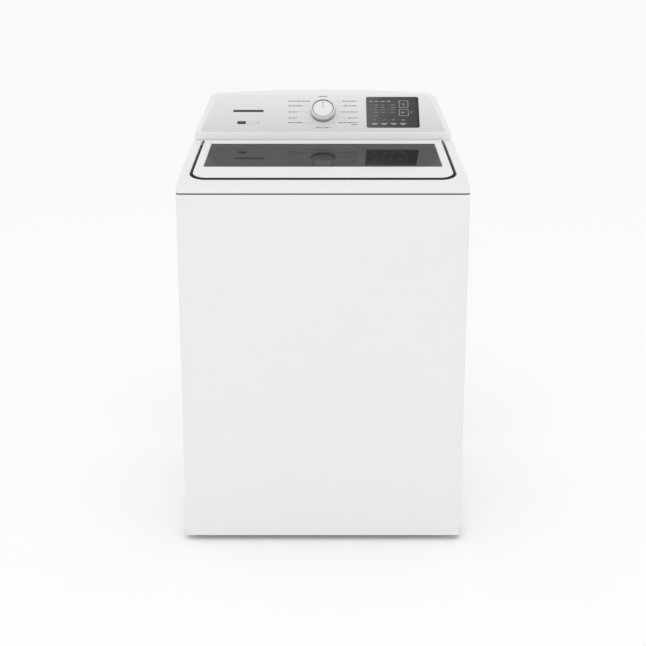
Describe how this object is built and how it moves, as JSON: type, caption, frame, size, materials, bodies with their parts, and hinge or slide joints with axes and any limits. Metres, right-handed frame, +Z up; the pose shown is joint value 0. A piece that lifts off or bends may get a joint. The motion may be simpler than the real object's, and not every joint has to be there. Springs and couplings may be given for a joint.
{
  "type": "top load washing machine",
  "caption": "Top-loading washing machine with a glazed lid in a sloping worktop, a tilted control console with a dial and keys, and a suspended tub with basket and agitator.",
  "frame": {"origin": "on the floor under the middle of the machine's bounding box, on the tub's axis", "axes": "+Z up, +Y towards the back, +X to the right seen from the front"},
  "size_m": [0.698, 0.686, 1.087],
  "materials": {
    "painted_white": "smooth gloss enamel",
    "white_plastic": "satin moulded plastic",
    "silver_grey_plastic": "fine satin silver-grey",
    "tinted_glass": "tempered, grey tint",
    "black_lens": "smooth gloss",
    "dark_plastic": "fine texture",
    "white_nylon": "satin",
    "tub_plastic": "moulded polypropylene",
    "stainless_steel": "fine brushed",
    "zinc_steel": "galvanised",
    "cast_aluminium": "as cast",
    "bright_trim": "satin bright",
    "black_rubber": "matt",
    "circuit_board": "solder mask"
  },
  "bodies": {
    "cabinet": {"cabinet_wrapper": "painted_white", "rear_panel": "zinc_steel", "base_frame": "zinc_steel", "levelling_feet": "black_rubber", "foot_locknuts": "zinc_steel", "corner_brackets": "zinc_steel", "rear_panel_screws": "zinc_steel", "cord_gland": "black_rubber", "drain_port": "black_rubber", "worktop": "painted_white", "lid_bumpers": "black_rubber", "hinge_bushes": "dark_plastic", "lid_lock_housing": "dark_plastic", "fill_spout": "white_nylon", "fill_hose": "black_rubber", "inlet_valve": "white_nylon", "console_housing": "white_plastic", "console_fascia": "silver_grey_plastic", "console_rear_cover": "zinc_steel", "display_lens": "black_lens", "control_board": "circuit_board", "knob_ring": "bright_trim", "selector_encoder": "dark_plastic", "pressure_sensor": "dark_plastic", "suspension_rods": "stainless_steel", "suspension_springs": "stainless_steel", "drain_hose": "black_rubber"},
    "tub_unit": {"outer_tub": "tub_plastic", "tub_ring": "tub_plastic", "tub_bearings": "stainless_steel", "gearcase": "cast_aluminium", "motor": "zinc_steel", "shift_actuator": "white_nylon", "run_capacitor": "zinc_steel", "drive_belt": "black_rubber", "drain_pump": "dark_plastic"},
    "basket_unit": {"basket": "stainless_steel", "balance_ring": "silver_grey_plastic", "basket_hub": "cast_aluminium", "drive_tube": "stainless_steel"},
    "agitator_unit": {"wash_plate": "white_plastic", "agitator_post": "white_plastic", "agitator_cap": "silver_grey_plastic", "agitator_shaft": "stainless_steel", "driven_pulley": "cast_aluminium"},
    "motor_rotor": {"motor_pulley": "cast_aluminium"},
    "lid": {"lid_frame": "painted_white", "lid_seal": "black_rubber", "lid_glass": "tinted_glass", "lid_liner": "white_plastic", "lid_hinge_pins": "stainless_steel", "lid_strike": "stainless_steel"},
    "lock_bolt": {"lid_lock_bolt": "stainless_steel"},
    "knob": {"cycle_knob": "white_plastic"},
    "power_key_cap": {"power_key": "black_lens"},
    "start_key_cap": {"start_key": "black_lens"},
    "option_key_1_cap": {"option_key_1": "black_lens"},
    "option_key_2_cap": {"option_key_2": "black_lens"},
    "option_key_3_cap": {"option_key_3": "black_lens"},
    "option_key_4_cap": {"option_key_4": "black_lens"}
  },
  "joints": [
    {"name": "agitator_spin", "type": "hinge", "parent": "tub_unit", "child": "agitator_unit", "pos_m": [0, 0, 0.3], "axis": [0, 0, 1], "continuous": true},
    {"name": "basket_spin", "type": "hinge", "parent": "tub_unit", "child": "basket_unit", "pos_m": [0, 0, 0.3], "axis": [0, 0, 1], "continuous": true},
    {"name": "cycle_knob_turn", "type": "hinge", "parent": "cabinet", "child": "knob", "pos_m": [0, 0.12535, 1.03118], "axis": [0, -0.6947, 0.7193], "continuous": true},
    {"name": "lid_hinge", "type": "hinge", "parent": "cabinet", "child": "lid", "pos_m": [0, 0.053, 0.95242], "axis": [-1, 0, 0], "range_deg": [0, 102]},
    {"name": "lid_lock_slide", "type": "slide", "parent": "cabinet", "child": "lock_bolt", "axis": [-1, 0, 0], "range_m": [0, 0.012]},
    {"name": "motor_spin", "type": "hinge", "parent": "tub_unit", "child": "motor_rotor", "pos_m": [0, 0.15, 0.1], "axis": [0, 0, 1], "continuous": true},
    {"name": "suspension", "type": "slide", "parent": "cabinet", "child": "tub_unit", "axis": [0, 0, 1], "range_m": [-0.02, 0.005], "stiffness_N_per_m": 16000, "deforming": ["suspension_springs", "drain_hose"]},
    {"name": "power_key_press", "type": "slide", "parent": "cabinet", "child": "power_key_cap", "axis": [0, 0.6947, -0.7193], "range_m": [0, 0.0012], "stiffness_N_per_m": 300, "springref_m": -0.001},
    {"name": "start_key_press", "type": "slide", "parent": "cabinet", "child": "start_key_cap", "axis": [0, 0.6947, -0.7193], "range_m": [0, 0.0012], "stiffness_N_per_m": 300, "springref_m": -0.001},
    {"name": "option_key_1_press", "type": "slide", "parent": "cabinet", "child": "option_key_1_cap", "axis": [0, 0.6947, -0.7193], "range_m": [0, 0.0012], "stiffness_N_per_m": 300, "springref_m": -0.001},
    {"name": "option_key_2_press", "type": "slide", "parent": "cabinet", "child": "option_key_2_cap", "axis": [0, 0.6947, -0.7193], "range_m": [0, 0.0012], "stiffness_N_per_m": 300, "springref_m": -0.001},
    {"name": "option_key_3_press", "type": "slide", "parent": "cabinet", "child": "option_key_3_cap", "axis": [0, 0.6947, -0.7193], "range_m": [0, 0.0012], "stiffness_N_per_m": 300, "springref_m": -0.001},
    {"name": "option_key_4_press", "type": "slide", "parent": "cabinet", "child": "option_key_4_cap", "axis": [0, 0.6947, -0.7193], "range_m": [0, 0.0012], "stiffness_N_per_m": 300, "springref_m": -0.001}
  ],
  "couplings": [
    {"joint": "motor_spin", "follows": "agitator_spin", "ratio": 7.3333}
  ]
}
